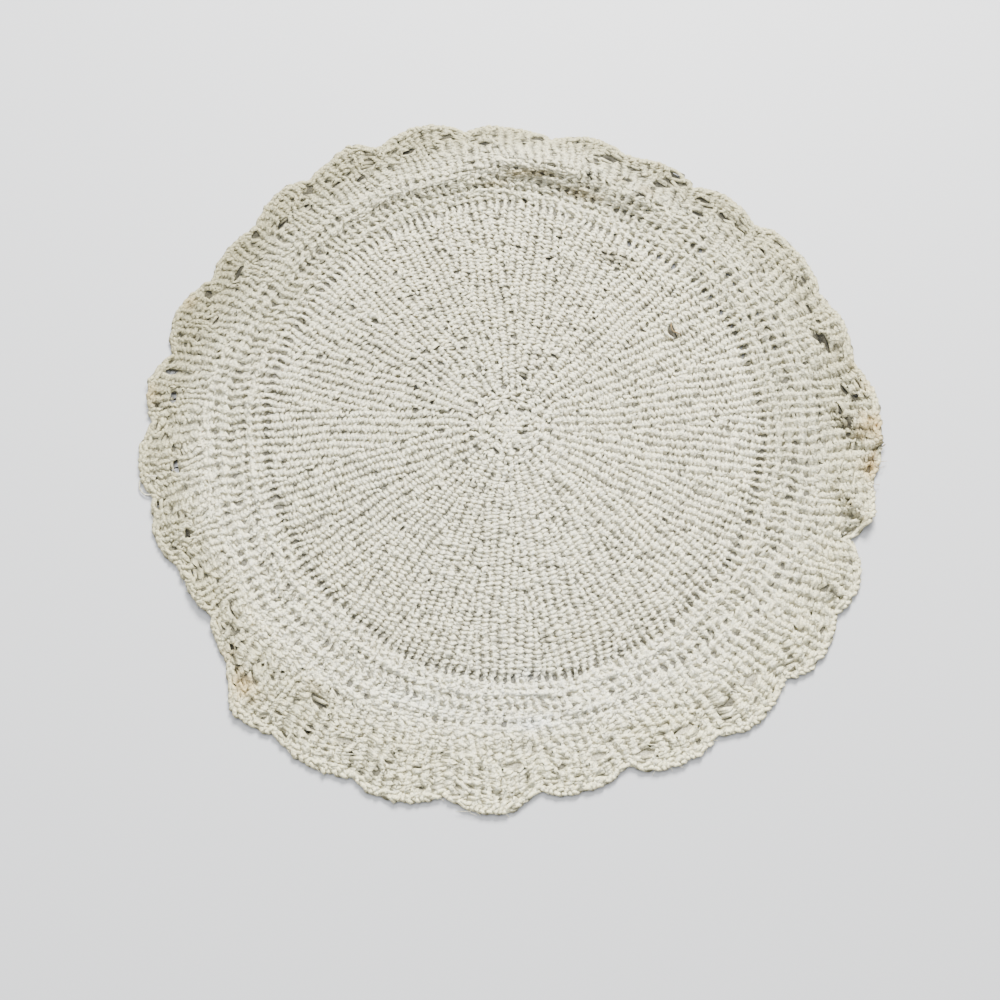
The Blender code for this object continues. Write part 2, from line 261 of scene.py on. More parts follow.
def knitted_by(crowding, whole):
    """How much is knitted by each of crowd_deg, where it adds up to whole."""
    crowd = np.interp(crowd_deg, *zip(*crowding))
    knit = np.concatenate([[0.0], np.cumsum(0.5 * (crowd[1:] + crowd[:-1]))])
    return knit * (whole / knit[-1])


knit_deg = knitted_by(CROWDING, 360.0)


def stretch(turn):
    """Degrees as the cloth lies now, from degrees as it was knitted."""
    return np.interp(np.mod(turn, 360.0), knit_deg, crowd_deg) + 360.0 * np.floor(turn / 360.0)


def held(value):
    """The value, held between 0 and 1."""
    return np.clip(value, 0.0, 1.0)


def round_mat(angle, table):
    """The values of a table of degrees and values, round the mat."""
    return np.interp(np.mod(angle, 360.0), *zip(*table))


def polar(x, y):
    """How far out each point lies, and at how many degrees."""
    return np.hypot(x, y), np.degrees(np.arctan2(y, x))


def off(angle, angle_deg):
    """Degrees that each angle lies past angle_deg, from -180 to 180."""
    return np.mod(angle - angle_deg + 180.0, 360.0) - 180.0


def spread_place(angle, ring):
    """Radius and lift in mm, place in the leaf and depth in the border for places on the cloth."""
    wrapped = np.mod(angle - edge_deg[0], 360.0) + edge_deg[0]
    turned = np.mod(angle, 360.0)
    slit = np.interp(turned, [p.angle_deg for p in PULLS], [p.slit_mm for p in PULLS])
    heel = np.interp(turned, [p.angle_deg for p in PULLS], [p.heel_mm for p in PULLS])
    inner = held((ring - CALM) / (LADDER - CALM)) ** 1.5
    out = np.maximum(0.0, (ring - HEEL) / (EDGE - HEEL))
    radius = np.minimum(ring, LADDER) + inner * (slit - LADDER)
    radius = radius + held((ring - LADDER) / (HEEL - LADDER)) * (heel - slit)
    radius = radius + out * (np.interp(wrapped, edge_deg, edge_mm) - heel)
    lift = np.interp(wrapped, edge_deg, edge_lift) * out * out
    leaf = np.interp(wrapped, edge_deg, edge_leaf)
    return radius, lift, np.mod(leaf, 1.0), np.minimum(out, 1.0)


def wander(x, y, seed):
    """A slow uneven drift, the same for neighbouring yarns."""
    total = 0.0
    waves = ((31.0, 0.4), (19.0, 2.1), (11.0, 4.0), (6.5, 5.3), (4.2, 1.1))     # length, direction
    for wave, (length, turn) in enumerate(waves):
        way = turn + seed * 1.7
        total = total + (length / waves[0][0]) ** 0.6 * np.sin(
            TURN * (x * cos(way) + y * sin(way)) / length + seed * 2.3 + wave
        )
    return total / 2.0


# Yarn parts round a hole and so widens it. It starts smaller than it ends, by these shares.
SHORTER, NARROWER = 0.9, 0.72
eyelets = [
    [o.angle_deg, o.radius_mm, SHORTER * o.along_mm, NARROWER * o.across_mm, o.slope]
    for o in OPENINGS
]
rng = np.random.default_rng(27)
for leaf in range(len(SCALLOPS)):
    for share, depth, half in LEAF_EYELETS:
        angle = float(np.interp(leaf + share, edge_leaf, edge_deg))
        ring = HEEL + depth * (EDGE - HEEL)
        size = half * rng.uniform(0.5, 1.2)
        angle += rng.normal(0.0, 0.3)
        level = abs(sin(radians(angle)))
        out = float(spread_place(np.array(angle), ring)[0])
        along, across = size * (0.8 + level), size * (1.5 - 0.8 * level)
        eyelets.append([angle, out, along, across, rng.normal(-0.3, 0.3)])
# The knitter turned at the end of every short row, and each turn left a small hole.
WEDGES = 21
RIDGES = 9
SWIRL = 0.13             # how the disc turns as it grows
wedge_width = TURN / WEDGES
ridge_mm = 2.0 * DISC * sin(0.5 * wedge_width / RIDGES)
for wedge in range(WEDGES):
    for ridge in range(1, RIDGES - 1):
        radius = DISC * sin((ridge + 0.5) / RIDGES * wedge_width) / sin(wedge_width)
        turn = FIRST_DEG + np.degrees((wedge + 1) * wedge_width + SWIRL * np.log(radius / DISC))
        size = rng.uniform(0.0, 0.36) * (1.0 + 0.7 * cos(radians(float(turn) - 125.0)))
        eyelets.append([float(stretch(turn)), radius, size, size, 0.0])
# The first rows, round the centre, are loose.
for pit in range(15):
    size = rng.uniform(0.15, 0.40)
    angle = rng.uniform(0, 360)
    eyelets.append([angle, rng.uniform(3.5, 10.0), size * 1.5, size, 0.3])
eyelets = np.array(eyelets)


def lay(turn, ring, height, rim):
    """World points in metres of knitting points: degrees as knitted, mm out, and mm above the
    fabric's middle. Every point gives way round the holes and keeps its rim in mm clear."""
    shape = ring.shape
    turn, ring, height = turn.ravel(), ring.ravel(), height.ravel()
    middle = 0.5 * np.interp(ring, BAND_MM, THICK_MM)
    unit = radians(360.0 / MESH_RIDGES) * ring
    number = (turn - FIRST_DEG) * MESH_RIDGES / 360.0
    nearest = np.round(number)
    across = (number - nearest) * unit
    openness = round_mat(turn, OPENNESS)
    slip = np.zeros_like(ring)
    # Each hole pushes the yarn of its own ridge aside. Only the three rings of the mesh open wide.
    for order, holes in enumerate(HOLE_RINGS):
        size = 1.0 + 0.28 * np.sin(nearest * (2.1 + order) + order) * np.sin(nearest * 0.73)
        size = size * (openness if 1 < order < 5 else 0.45 + 0.55 * np.minimum(openness, 1.0))
        along = ring - holes.ring_mm - 0.22 * np.sin(nearest * 1.9 + order * 2.0)
        tall = holes.along_mm * (0.6 + 0.4 * size) + rim
        wide = np.minimum(holes.across_mm * size + rim, 0.44 * unit)
        lean = across - holes.lean * along
        far = np.sqrt((along / tall) ** 2 + (lean / wide) ** 2) + 1e-6
        reach = np.maximum(0.49 * unit / wide, 1.04)
        moved = np.where(far < reach, (far * (reach - 1.0) / reach + 1.0) / far, 1.0) - 1.0
        moved = moved * np.minimum(1.0, 0.20 + openness)
        across = across + (lean + holes.lean * along) * moved
        ring = ring + along * moved
        bow_mm = 1.0 - 0.7 * np.maximum(0.0, np.cos(np.radians(turn - 20.0)))
        bow_mm = bow_mm * (1.0 + 0.35 * np.sin(nearest * 1.7 + order)) * holes.bow_mm
        slip = slip + bow_mm * np.exp(-(((ring - holes.ring_mm) / holes.bow_width_mm) ** 2))
    angle = stretch(FIRST_DEG + (nearest + across / unit) * 360.0 / MESH_RIDGES)
    angle = angle + 1.3 * (np.maximum(0.0, ring - HEEL) / (EDGE - HEEL))
    radius, lift, share, out = spread_place(angle, ring)
    # The border is felted flatter than the rest, and the rolled part at the back most of all.
    border = held((ring - 95.0) / 3.0)
    rolled = np.exp(-(((np.mod(angle, 360.0) - 84.0) / 30.0) ** 4)) * border
    height = height * (1.0 - 0.35 * rolled) * (1.0 - 0.22 * border)
    slip = slip + 1.5 * np.sin(pi * out) * (0.2 + 0.8 * np.cos(TURN * (share - 0.35)))
    angle = angle + np.degrees(slip / np.maximum(radius, 4.0))
    x = radius * np.cos(np.radians(angle))
    y = radius * np.sin(np.radians(angle))
    # Hand knitting wanders, and most of all in the leaves of the border and at the very centre.
    leaves = held((radius - 92.0) / 6.0) * np.clip((1.0 - out) * 6.0, 0.4, 1.0)
    loose = 0.56 + 0.30 * leaves + 0.9 * held(1.0 - radius / 9.0)
    x, y = x + loose * wander(x, y, 1), y + loose * wander(x, y, 2)
    radius, angle = polar(x, y)
    # An eyelet parts the yarn as far as twice its own size away, which is never 10 mm.
    for angle_deg, radius_mm, along_mm, across_mm, slope in eyelets:
        offset = off(angle, angle_deg)
        close = (np.abs(offset) < 560.0 / radius_mm) & (np.abs(radius - radius_mm) < 5.5)
        near = np.nonzero(close)[0]
        if not len(near):
            continue
        along = np.radians(offset[near]) * radius_mm
        across = radius[near] - radius_mm - slope * along
        far = np.sqrt((along / (along_mm + rim)) ** 2 + (across / (across_mm + rim)) ** 2) + 1e-6
        moved = np.where(far < 2.0, (far / 2.0 + 1.0) / far, 1.0)
        angle[near] = angle_deg + np.degrees(along * moved / radius_mm)
        radius[near] = radius_mm + (across + slope * along) * moved
    raised = np.zeros_like(radius)
    for fold in FOLDS:
        along = np.radians(off(angle, fold.angle_deg)) * fold.radius_mm
        across = radius - fold.radius_mm - fold.drift * along
        width = np.where(across > 0.0, fold.outer_mm, fold.inner_mm)
        fades = np.exp(-((along / fold.half_length_mm) ** 2) - (across / width) ** 2)
        raised += fold.height_mm * fades
    lift = np.maximum(0.0, lift + raised - SETTLE)
    x = radius * np.cos(np.radians(angle))
    y = radius * np.sin(np.radians(angle))
    z = lift + np.maximum(middle + height, 0.9 * rim)
    return np.stack([x, y, z], axis=-1).reshape(shape + (3,)) * MM


# What years of use left on the cotton, and light and shade painted onto it: where, how large, which
# colour and how strong.
Mark = namedtuple("Mark", "angle_deg radius_mm along_mm across_mm colour strength")
COOL, GREY = (1.03, 1.04, 1.07), (0.66, 0.65, 0.60)
TAN, BROWN = (0.90, 0.76, 0.58), (0.46, 0.34, 0.22)
# Painted shadow in the dark pleats either side of the flap.
PLEAT_SHADOWS = (
    (6.9, 99.1), (5.2, 100.9), (3.7, 102.8), (2.6, 104.8), (1.6, 106.8), (352.3, 99.1),
    (350.9, 101.6), (349.3, 104.2), (348, 106.7), (347.2, 109.4),
)
MARKS = [Mark(*place, 1.5, 1.2, (0.50, 0.47, 0.40), 0.75) for place in PLEAT_SHADOWS]
# A cooler middle and front, a greyer border, tan and brown stains, and some painted light and shade.
MARKS += [Mark(*mark) for mark in (
    (90, 6, 24, 20, COOL, 0.5), (275, 82, 50, 13, COOL, 1), (275, 45, 32, 26, COOL, 0.8),
    (205, 45, 18, 18, COOL, 0.4), (160, 101, 36, 10, GREY, 0.36), (8, 102, 20, 8, GREY, 0.26),
    # Painted light: the pale floor seen through the mesh at the front, as bluish white on the yarn.
    # Painted shade along the row of holes at the heel there.
    (277, 91.2, 6, 1.8, (1.03, 1.08, 1.24), 1), (255, 89, 9, 2, (1.02, 1.05, 1.12), 0.8),
    (277, 77.5, 5, 1.2, (1.02, 1.05, 1.15), 0.8), (281, 95.8, 34, 0.6, GREY, 0.8),
    (3.4, 110, 4.6, 4.2, TAN, 0.95), (356.4, 109.6, 3.4, 3.2, TAN, 0.95),
    (4.4, 109.7, 0.6, 0.5, BROWN, 1), (4.9, 111, 0.5, 0.4, BROWN, 0.9),
    (3.5, 111.6, 0.6, 0.5, BROWN, 0.9), (2.1, 110, 0.7, 0.5, BROWN, 1),
    (1.6, 111.9, 0.6, 0.5, BROWN, 1), (357.2, 109.8, 1.8, 1.2, BROWN, 0.7),
    (14.4, 107.7, 2.6, 1.6, (0.62, 0.58, 0.48), 0.7), (17.5, 103.5, 2.4, 1.4, GREY, 0.5),
    (224.5, 107.6, 3.6, 2.6, (0.66, 0.6, 0.5), 0.6), (229, 110.4, 3, 2.4, TAN, 0.7),
    (238.5, 98.4, 4, 1.8, (0.58, 0.54, 0.46), 0.6), (358.6, 110.6, 1.4, 1.2, BROWN, 0.8),
    (5.5, 107.5, 1.6, 1.2, BROWN, 0.5), (1, 107, 1.2, 0.8, BROWN, 0.5),
    (10.5, 110.5, 2.6, 2.2, TAN, 0.5), (230.3, 111.3, 4.6, 3.6, TAN, 0.6),
    (240.9, 99.6, 4.6, 1.6, GREY, 0.6), (178.4, 109.9, 3.2, 2.6, TAN, 0.6),
    (161.1, 107.9, 2.8, 2.2, TAN, 0.6), (171, 105.5, 3.5, 1.5, GREY, 0.3),
    # A tan stain at the broken place. Painted shade on the welt at the back, on its slope, along its
    # creases and in its dark holes, and in the black hole of the flap.
    (35.1, 59.6, 1.8, 1.5, TAN, 0.7), (72, 88, 12, 3, GREY, 0.35),
    (89.2, 86.8, 9, 1.3, (0.46, 0.42, 0.34), 0.95), (97, 83.7, 5.5, 0.9, (0.5, 0.46, 0.38), 0.9),
    (77, 83.4, 7.5, 1.5, (0.55, 0.5, 0.42), 0.8), (64.5, 92.8, 3, 1.4, (0.55, 0.5, 0.42), 0.8),
    (70.8, 92.2, 2.2, 1, (0.5, 0.46, 0.38), 0.8), (8.9, 106.2, 1.6, 1.4, (0.1, 0.09, 0.08), 0.8),
    # Greyer patches on the sides of the disc, in the openwork and in the border, and painted shade
    # along the pucker at the upper right.
    (20, 50, 30, 26, GREY, 0.1), (345, 56, 20, 18, GREY, 0.08), (100, 50, 30, 22, GREY, 0.12),
    (150, 54, 26, 20, GREY, 0.12), (265, 36, 12, 9, GREY, 0.12), (63, 66.5, 9, 2.6, GREY, 0.6),
    (150, 86, 24, 10, GREY, 0.22), (25, 103, 10, 6, GREY, 0.16), (115, 100, 14, 7, GREY, 0.1),
    (264.6, 41.1, 0.7, 0.5, BROWN, 0.5), (262.6, 52.3, 0.6, 0.6, BROWN, 0.5),
    (239, 107, 7, 6, GREY, 0.22), (300, 98, 12, 8, (0.97, 0.96, 0.9), 0.6),
    (215, 99, 14, 8, (0.97, 0.96, 0.9), 0.5),
)]
# Small brown flecks, most of them near the edge.
for fleck in range(46):
    place = rng.uniform(0, 360), rng.triangular(20, 106, 112)
    size = rng.uniform(0.4, 1.0), rng.uniform(0.3, 0.7)
    MARKS.append(Mark(*place, *size, BROWN, rng.uniform(0.15, 0.5)))

# The border and the openwork are greyer at the back and the sides, and paler at the front: degrees
# and how much darker.
BORDER_GREY = [
    (0, 0.22), (30, 0.33), (60, 0.47), (90, 0.44), (120, 0.47), (150, 0.49), (180, 0.38),
    (210, 0.32), (240, 0.10), (270, -0.05), (300, -0.02), (330, 0.10), (360, 0.22),
]
MESH_GREY = [
    (0, 0.26), (30, 0.24), (60, 0.26), (90, 0.18), (120, 0.27), (150, 0.30), (180, 0.16),
    (210, 0.0), (240, 0.0), (270, -0.04), (300, -0.03), (330, 0.08), (360, 0.26),
]


def beside(x, y, place):
    """How far points lie along the edge and outwards from a place of the mat, all in mm."""
    way = radians(place.angle_deg)
    return y * cos(way) - x * sin(way), x * cos(way) + y * sin(way) - place.radius_mm


def paints_floor_light(angle_deg, radius_mm, along_mm):
    """True for the widest eyelets of the front edge, where the layer below is painted pale as the
    lit floor. All others are painted dark as shade.
    """
    return angle_deg > 242.0 and radius_mm > 102.5 and along_mm > 1.5


def tint(points, depth):
    """How the cotton is coloured at world points: stains, greying, and painted light and shade.
    depth is 1 on top and 0 deep down.
    """
    x, y = points[:, 0] / MM, points[:, 1] / MM
    colour = np.ones((len(points), 3))
    for mark in MARKS:
        side, out = beside(x, y, mark)
        near = np.nonzero(
            (np.abs(out) < 2.0 * mark.across_mm) & (np.abs(side) < 2.0 * mark.along_mm)
        )[0]
        far = np.hypot(out[near] / mark.across_mm, side[near] / mark.along_mm)
        far = far * (1.0 + 0.22 * wander(x[near] * 5.0, y[near] * 5.0, 3))
        weight = held(1.25 - 0.8 * far)
        weight = mark.strength * weight * weight * (3.0 - 2.0 * weight)
        colour[near] *= 1.0 - weight[:, None] * (1.0 - np.array(mark.colour))
    depth = held(depth)
    # Painted shade: the deeper a point lies in the fabric, the darker its colour.
    light = 1.0 - 0.86 * (1.0 - depth) ** 1.4
    radius, angle = polar(x, y)
    # Darker towards the back and the sides of the border and the openwork.
    darkening = round_mat(angle, BORDER_GREY)[:, None] + np.array([0.0, 0.01, 0.08])
    darkening = darkening * held((radius - 93.0) / 9.0)[:, None]
    band = held((radius - DISC) / 4.0) * held((102.0 - radius) / 9.0)
    darkening += (band * round_mat(angle, MESH_GREY))[:, None] * np.array([1.0, 1.0, 1.1])
    # Painted shade: the rim of every eyelet is darkened where it turns down into the hole.
    rim_mm = 0.30
    for angle_deg, radius_mm, along_mm, across_mm, slope in eyelets:
        if paints_floor_light(angle_deg, radius_mm, along_mm / SHORTER):
            continue
        offset = off(angle, angle_deg)
        close = (np.abs(radius - radius_mm) < 3.0) & (np.abs(offset) < 220.0 / radius_mm)
        near = np.nonzero(close)[0]
        side = np.radians(offset[near]) * radius_mm
        out = radius[near] - radius_mm - slope * side
        far = np.hypot(side / (along_mm + rim_mm), out / (across_mm + rim_mm))
        light[near] *= 1.0 - held(2.6 - 2.0 * far) * (0.80 - 0.30 * depth[near])
    return colour * (1.0 - darkening) * light[:, None]


def cotton(name, light, deep, glow=0.35):
    """Washed cotton: mottled cream, fuzzy, with the two plies of the yarn twisted together."""
    material = bpy.data.materials.new(name)
    material.use_nodes = True
    nodes, link = material.node_tree.nodes, material.node_tree.links.new

    def node(kind, values):
        """A new node with these values on its inputs."""
        made = nodes.new("ShaderNode" + kind)
        for key, value in values.items():
            made.inputs[key].default_value = value
        return made

    skin = nodes["Principled BSDF"]
    for key, value in {
        "Roughness": 0.92, "Specular IOR Level": 0.12, "Sheen Weight": 0.02, "Sheen Roughness": 0.6,
        "Subsurface Weight": glow, "Subsurface Radius": (1.0, 0.9, 0.7), "Subsurface Scale": 0.0003,
    }.items():
        skin.inputs[key].default_value = value
    where = nodes.new("ShaderNodeTexCoord").outputs["Object"]
    # Clouds over the mat, unevenness from stitch to stitch, and the shade between fibres: scale,
    # detail, share and how dark the dark parts are.
    mottles = ((26.0, 3.0, 1.0, 1.0), (190.0, 2.0, 0.5, 1.0), (2100.0, 2.0, 0.68, 0.66))
    colour = None
    for scale, detail, share, shade in mottles:
        mottle = node("TexNoise", {"Scale": scale, "Detail": detail})
        link(where, mottle.inputs["Vector"])
        ramp = nodes.new("ShaderNodeValToRGB")
        low, high = ramp.color_ramp.elements
        low.position, high.position = 0.36, 0.64
        low.color = (*(shade * c for c in deep), 1.0)
        high.color = (*light, 1.0)
        link(mottle.outputs["Fac"], ramp.inputs["Fac"])
        if colour is None:
            colour = ramp.outputs["Color"]
            continue
        blend = node("Mix", {"Factor": share})
        blend.data_type = "RGBA"
        link(colour, blend.inputs["A"])
        link(ramp.outputs["Color"], blend.inputs["B"])
        colour = blend.outputs["Result"]
    # The Tint attribute holds the stains and the painted light and shade.
    stains_and_painted_light = nodes.new("ShaderNodeAttribute")
    stains_and_painted_light.attribute_name = "Tint"
    darkening = node("Mix", {"Factor": 1.0})
    darkening.data_type = "RGBA"
    darkening.blend_type = "MULTIPLY"
    link(colour, darkening.inputs["A"])
    link(stains_and_painted_light.outputs["Color"], darkening.inputs["B"])
    link(darkening.outputs["Result"], skin.inputs["Base Color"])
    fuzz = node("TexNoise", {"Scale": 1700.0, "Detail": 5.0, "Roughness": 0.7})
    link(where, fuzz.inputs["Vector"])
    lumps = node("Bump", {"Strength": 0.9, "Distance": 0.0006})
    link(fuzz.outputs["Fac"], lumps.inputs["Height"])
    along = nodes.new("ShaderNodeUVMap")
    along.uv_map = "Yarn"
    ply = node("TexWave", {"Scale": 0.6, "Distortion": 1.5})
    ply.wave_type = "BANDS"
    ply.bands_direction = "DIAGONAL"
    link(along.outputs["UV"], ply.inputs["Vector"])
    twist = node("Bump", {"Strength": 0.35, "Distance": 0.0002})
    link(ply.outputs["Fac"], twist.inputs["Height"])
    link(lumps.outputs["Normal"], twist.inputs["Normal"])
    link(twist.outputs["Normal"], skin.inputs["Normal"])
    return material


def knitted(name, verts, faces, uvs, colours, material):
    """One object of quads, with coordinates along the yarn and the colour of stains, greying and
    painted light and shade.
    """
    mesh = bpy.data.meshes.new(name)
    mesh.vertices.add(len(verts))
    mesh.vertices.foreach_set("co", verts.ravel())
    mesh.loops.add(faces.size)
    mesh.loops.foreach_set("vertex_index", faces.ravel())
    mesh.polygons.add(len(faces))
    mesh.polygons.foreach_set("loop_start", np.arange(0, faces.size, 4))
    mesh.uv_layers.new(name="Yarn").data.foreach_set("uv", uvs.ravel())
    shade = mesh.color_attributes.new("Tint", "FLOAT_COLOR", "POINT")
    shade.data.foreach_set("color", np.c_[colours, np.ones(len(colours))].ravel())
    mesh.update(calc_edges=True)
    mesh.validate()
    mesh.shade_smooth()
    mesh.materials.append(material)
    piece = bpy.data.objects.new(name, mesh)
    scene.collection.objects.link(piece)
    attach(piece, "root")
    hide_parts("doily")
    return piece


# The layer itself: rings of points on its two sides, with faces left out where it is open.
rings = np.concatenate([
    [0.3, 8, 16, 24, 32, 40, 48, 54, 58, 62, 66, 70, 72.6],
    [73.2, 73.7, 74.5, 75.3, 75.8, 77.7, 78.2, 78.7, 81.1, 81.7, 82.3, 82.9],
    [84.8, 85.5, 86.9, 87.6, 90.5, 91.2, 91.9, 94.6, 95.2, 95.8],
    [97.2, 98.8, 100.4, 102.0, 103.6, 105.2, 106.8, 108.2, 109.4],
])
columns = 3 * MESH_RIDGES
turn, ring = np.meshgrid(FIRST_DEG + (np.arange(columns) + 0.5) * 360.0 / columns, rings)
sheet = lay(turn, ring, np.full(ring.shape, -0.30), 0.12)
half_thick = [0, 0, 0.00022]
points = np.concatenate([sheet + half_thick, sheet - half_thick]).reshape(-1, 3)
r, c = np.meshgrid(np.arange(len(rings) - 1), np.arange(columns), indexing="ij")
after = (c + 1) % columns
a, b, d, e = r * columns + c, r * columns + after, (r + 1) * columns + after, (r + 1) * columns + c
# It is cut through only where the openwork was pulled widest, and at the left edge.
middle_ring = 0.5 * (rings[1:] + rings[:-1])[:, None]
over_hole = np.zeros(a.shape, bool)
pulled_wide = round_mat(turn[:-1], OPENNESS) > 1.4
for holes in HOLE_RINGS:
    in_ring = np.abs(middle_ring - holes.ring_mm) < 0.75 * holes.along_mm + 0.15
    over_hole |= pulled_wide & ((c % 3) == 2) & in_ring
centre = 0.25 * (points[a] + points[b] + points[d] + points[e]) / MM
centre_mm, centre_deg = polar(centre[..., 0], centre[..., 1])
left_edge = (eyelets[:, 0] > 170.0) & (eyelets[:, 0] < 215.0)
large = eyelets[:, 3] > 0.5
for angle_deg, radius_mm, along_mm, across_mm, slope in eyelets[left_edge & large]:
    along = np.radians(off(centre_deg, angle_deg)) * radius_mm
    across = centre_mm - radius_mm - slope * along
    over_hole |= (along / (along_mm + 0.1)) ** 2 + (across / (across_mm + 0.1)) ** 2 < 1.0
keep = ~over_hole
below = len(rings) * columns
faces = [np.stack([a, b, d, e], -1)[keep], np.stack([e, d, b, a], -1)[keep] + below]
lack = np.pad(over_hole, ((1, 1), (0, 0)), constant_values=True)
for p, q, mask in (
    (b, a, lack[:-2]), (e, d, lack[2:]),
    (a, e, np.roll(over_hole, 1, axis=1)), (d, b, np.roll(over_hole, -1, axis=1)),
):
    faces.append(np.stack([p, q, q + below, p + below], -1)[keep & mask])
faces = np.concatenate(faces)
shades = tint(points, np.full(len(points), 0.8))
# Painted light and shade on the layer: pale as the lit floor in the widest eyelets of the front
# edge, dark as shade in every other opening.
for opening in OPENINGS:
    side, out = beside(points[:, 0] / MM, points[:, 1] / MM, opening)
    out = (out - opening.slope * side) / (opening.across_mm + 0.5)
    far = np.hypot(side / (opening.along_mm + 0.4), out)
    painted_light_and_shade = 3.4 if paints_floor_light(opening.angle_deg, opening.radius_mm, opening.along_mm) else -0.85
    shades *= 1.0 + painted_light_and_shade * held(1.6 - far)[:, None]
# It lies in the shade of the yarn above it, so it is much darker than the yarn.
felted_cotton = cotton("Felted cotton", (0.20, 0.19, 0.15), (0.14, 0.13, 0.10), 0.0)
ground = knitted("felted_ground", points, faces, np.zeros((faces.size, 2)), shades, felted_cotton)


# ---- Yarn of the disc and openwork -------------------------------------------------------
# One yarn knits to and fro: 21 wedges of nine garter ridges. Each ridge starts where the wedge
# before it leaves off and runs out through the ladder, the plait and the mesh to the border.
STITCH = 1.30            # mm along the row
POINTS_A_STITCH = 5
SIDES = 3                # flats round a yarn
CORE_SIDES = 6           # flats round a felted body
PLAITS = ((79.9, 1.0), (88.6, 0.4), (93.2, 0.3))     # mm out, and how strongly plaited
SUNK = 0.5               # mm, yarn that would bridge an eyelet lies no higher than this
SUNK_SHADE = -1.5         # and is painted as dark as deep shade
taper_mm = 0.5 * ridge_mm / np.tan(wedge_width)


def garter_ridge(start_mm, end_mm, seed, rough, length_mm=None):
    """The two rows of a ridge as one closed path: mm out, ridge widths sideways, mm high."""
    local = np.random.default_rng(seed)
    stitches = max(2, int(round((length_mm or end_mm - start_mm) / STITCH)))
    count = stitches * POINTS_A_STITCH + 1
    u = np.linspace(0.0, TURN * stitches, count)
    width = (end_mm - start_mm) / stitches
    jitter = local.normal(0.0, 1.0, (4, count))
    soften = [0.15, 0.22, 0.26, 0.22, 0.15]
    for k in range(4):
        jitter[k] = np.convolve(np.pad(jitter[k], 2, mode="edge"), soften, "valid")
    drift = local.normal(0.0, 0.045, count // 18 + 4)
    drift = np.interp(np.arange(count) / 18.0, np.arange(len(drift)), drift)
    parts = []
    # The yarn swings to and fro once a stitch, is held in beside the holes and crosses itself in
    # the plaits. It is least even where it is rough and at the loose heart of the disc.
    for row, sign in ((-1, 1.0), (1, -1.0)):
        ring = start_mm + width * u / TURN + 0.17 * width * np.sin(2.0 * u)
        heart = held(1.0 - ring / 15.0)
        hold = sum(np.exp(-(((ring - h.ring_mm) / (h.along_mm + 0.5)) ** 4)) for h in HOLE_RINGS)
        plait = held(sum(w * np.exp(-((ring - p) ** 2)) for p, w in PLAITS))
        side = row * 0.25 + 0.49 * np.cos(u) * (1.0 + 0.20 * rough * jitter[0])
        side = side * (1.0 - 0.24 * held(hold)) + drift
        swing = np.cos(u) * np.sqrt(np.abs(np.cos(u)) + 0.05)
        height = sign * 0.45 * np.cos(u) / (np.abs(np.cos(u)) + 0.25) * (1.0 - plait) - 0.04
        height = height + 0.20 * np.sin(u) * (0.4 + 0.6 * held(73.0 - ring))
        height = height + 0.30 * swing * np.cos(u) * plait + (0.26 * rough + 0.3 * heart) * jitter[1]
        ring = ring + (0.30 * rough + 0.9 * heart) * jitter[2]
        part = np.stack([ring, side + (0.08 * rough + 0.5 * heart) * jitter[3], height], 1)
        parts.append(part if row < 0 else part[::-1])
        jitter = np.roll(jitter, 3, axis=1)
    return np.concatenate(parts)


def ridge_core(start_mm, end_mm, seed):
    """The felted body of a ridge as rings of six points: mm out, ridge widths sideways, mm high."""
    local = np.random.default_rng(seed + 90000)
    steps = np.linspace(start_mm, end_mm, int((end_mm - start_mm) / 1.15) + 1)
    around = TURN * (np.arange(CORE_SIDES) + 0.5) / CORE_SIDES
    ring, around = np.meshgrid(steps, around, indexing="ij")
    swell = np.clip(1.0 + 0.10 * local.normal(0.0, 1.0, ring.shape), 0.7, 1.2)
    swell[0] *= 0.4
    swell[-1] *= 0.4
    open_mm = sum(np.exp(-(((ring - h.ring_mm) / (h.along_mm + 0.6)) ** 4)) for h in HOLE_RINGS)
    swell = swell * (1.0 - 0.25 * held(open_mm))
    return np.stack([ring, 0.34 * np.cos(around) * swell, 0.60 * np.sin(around) * swell - 0.06], -1)


def in_wedge(wedge, ridge, knit):
    """Degrees as knitted, mm out and height for points of a ridge of a wedge."""
    ring, side, height = knit[..., 0], knit[..., 1], knit[..., 2]
    offset = (ridge + 0.5) / RIDGES * wedge_width
    y_line = DISC * sin(offset)
    x_line = np.sqrt(np.maximum(ring ** 2 - y_line ** 2, 0.5))
    full = (x_line - y_line / np.tan(wedge_width) + taper_mm) / (2.0 * taper_mm)
    full = np.clip(full, 0.30 if ridge else 0.12, 1.0)
    y_line = y_line - 0.5 * ridge_mm + (side + 0.5) * ridge_mm * full
    # Past the disc the ridges leave the lines of their wedge and run straight outwards.
    blend = held((ring - 73.0) / 3.5)
    blend = blend * blend * (3.0 - 2.0 * blend)
    turn_in = np.arctan2(y_line, x_line)
    turn = turn_in + (offset + side * TURN / MESH_RIDGES - turn_in) * blend
    ring_in = np.hypot(x_line, y_line)
    spread = ring_in + (ring - ring_in) * blend
    turn = turn + SWIRL * np.log(np.minimum(spread, DISC) / DISC) + wedge * wedge_width
    return FIRST_DEG + np.degrees(turn), spread, height


def how_deep(ring, height, steep, base):
    """1 on top of the fabric and 0 deep down. More light gets into the openwork, the border and
    the loose centre than into the close disc."""
    mesh = held((ring - 73.7) / 2.0) * held((97.0 - ring) / 2.0)
    heart = held(1.0 - ring / 13.0)
    border = 0.46 * held((ring - 95.0) / 2.0)
    return steep * height + base + 0.80 * mesh + 0.40 * heart + border


